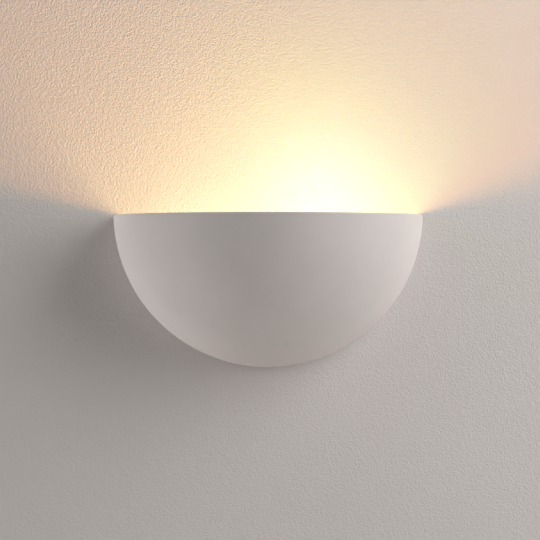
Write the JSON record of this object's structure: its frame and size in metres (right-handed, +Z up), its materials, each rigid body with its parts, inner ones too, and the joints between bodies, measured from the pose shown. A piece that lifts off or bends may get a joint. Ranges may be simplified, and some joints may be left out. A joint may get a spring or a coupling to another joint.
{
  "type": "uplighter wall sconce",
  "caption": "Half-bowl plaster wall light, open at the top, hung on a steel strap that carries a horizontal lampholder and lamp; throws light up the wall.",
  "frame": {"origin": "on the wall, midway between the strap's two fixing slots", "axes": "+X to the right of someone facing the wall light, +Y into the wall, +Z up"},
  "size_m": [0.31, 0.12, 0.1525],
  "materials": {
    "plaster": "matte",
    "white_steel": "satin",
    "zinc_steel": "satin",
    "nickel": "satin",
    "brass": "satin",
    "tinned_copper": "satin",
    "rubber": "matte",
    "holder_plastic": "satin",
    "steatite": "matte",
    "block_plastic": "satin",
    "brown_insulation": "satin",
    "blue_insulation": "satin",
    "earth_insulation": "satin",
    "opal": "satin",
    "white_plastic": "satin",
    "white_board": "matte",
    "phosphor": "matte",
    "green_board": "satin",
    "black_insulator": "gloss"
  },
  "bodies": {
    "bracket": {"wall_bracket": "white_steel", "tab_nuts": "zinc_steel", "cable_bush": "rubber", "holder_arm": "white_steel", "arm_screws": "zinc_steel", "threaded_nipple": "brass", "nipple_nut": "brass", "nipple_lock_washer": "zinc_steel", "lampholder_base": "holder_plastic", "lampholder_skirt": "holder_plastic", "lampholder_core": "steatite", "lampholder_screw_shell": "brass", "lampholder_centre_contact": "brass", "lampholder_terminals": "brass", "lampholder_terminal_screws": "zinc_steel", "terminal_block_body": "block_plastic", "terminal_block_clamps": "brass", "terminal_block_screws": "zinc_steel", "terminal_block_fixing_screws": "zinc_steel", "live_lead": "brown_insulation", "neutral_lead": "blue_insulation", "earth_lead": "earth_insulation", "earth_ring_terminal": "tinned_copper", "earth_washer": "zinc_steel", "earth_screw": "zinc_steel"},
    "shell": {"plaster_shell": "plaster", "hanger_plate_left": "zinc_steel", "hanger_plate_right": "zinc_steel"},
    "bulb": {"bulb_globe": "opal", "bulb_housing": "white_plastic", "bulb_led_board": "white_board", "bulb_led_chips": "phosphor", "bulb_driver_board": "green_board", "bulb_screw_cap": "nickel", "bulb_insulator": "black_insulator", "bulb_tip_contact": "tinned_copper"},
    "thumb_screw_left": {"thumb_screw_left": "nickel", "thumb_washer_left": "zinc_steel"},
    "thumb_screw_right": {"thumb_screw_right": "nickel", "thumb_washer_right": "zinc_steel"}
  },
  "joints": [
    {"name": "shell_pull_off", "type": "slide", "parent": "bracket", "child": "shell", "axis": [0, -1, 0], "range_m": [0, 0.13]},
    {"name": "bulb_pull_out", "type": "slide", "parent": "bracket", "child": "bulb", "axis": [1, 0, 0], "range_m": [0, 0.026]},
    {"name": "thumb_screw_left_turn", "type": "hinge", "parent": "bracket", "child": "thumb_screw_left", "pos_m": [-0.108, -0.015, 0.02], "axis": [0, 0, 1], "range_deg": [0, 720]},
    {"name": "thumb_screw_right_turn", "type": "hinge", "parent": "bracket", "child": "thumb_screw_right", "pos_m": [0.108, -0.015, 0.02], "axis": [0, 0, 1], "range_deg": [0, 720]}
  ]
}
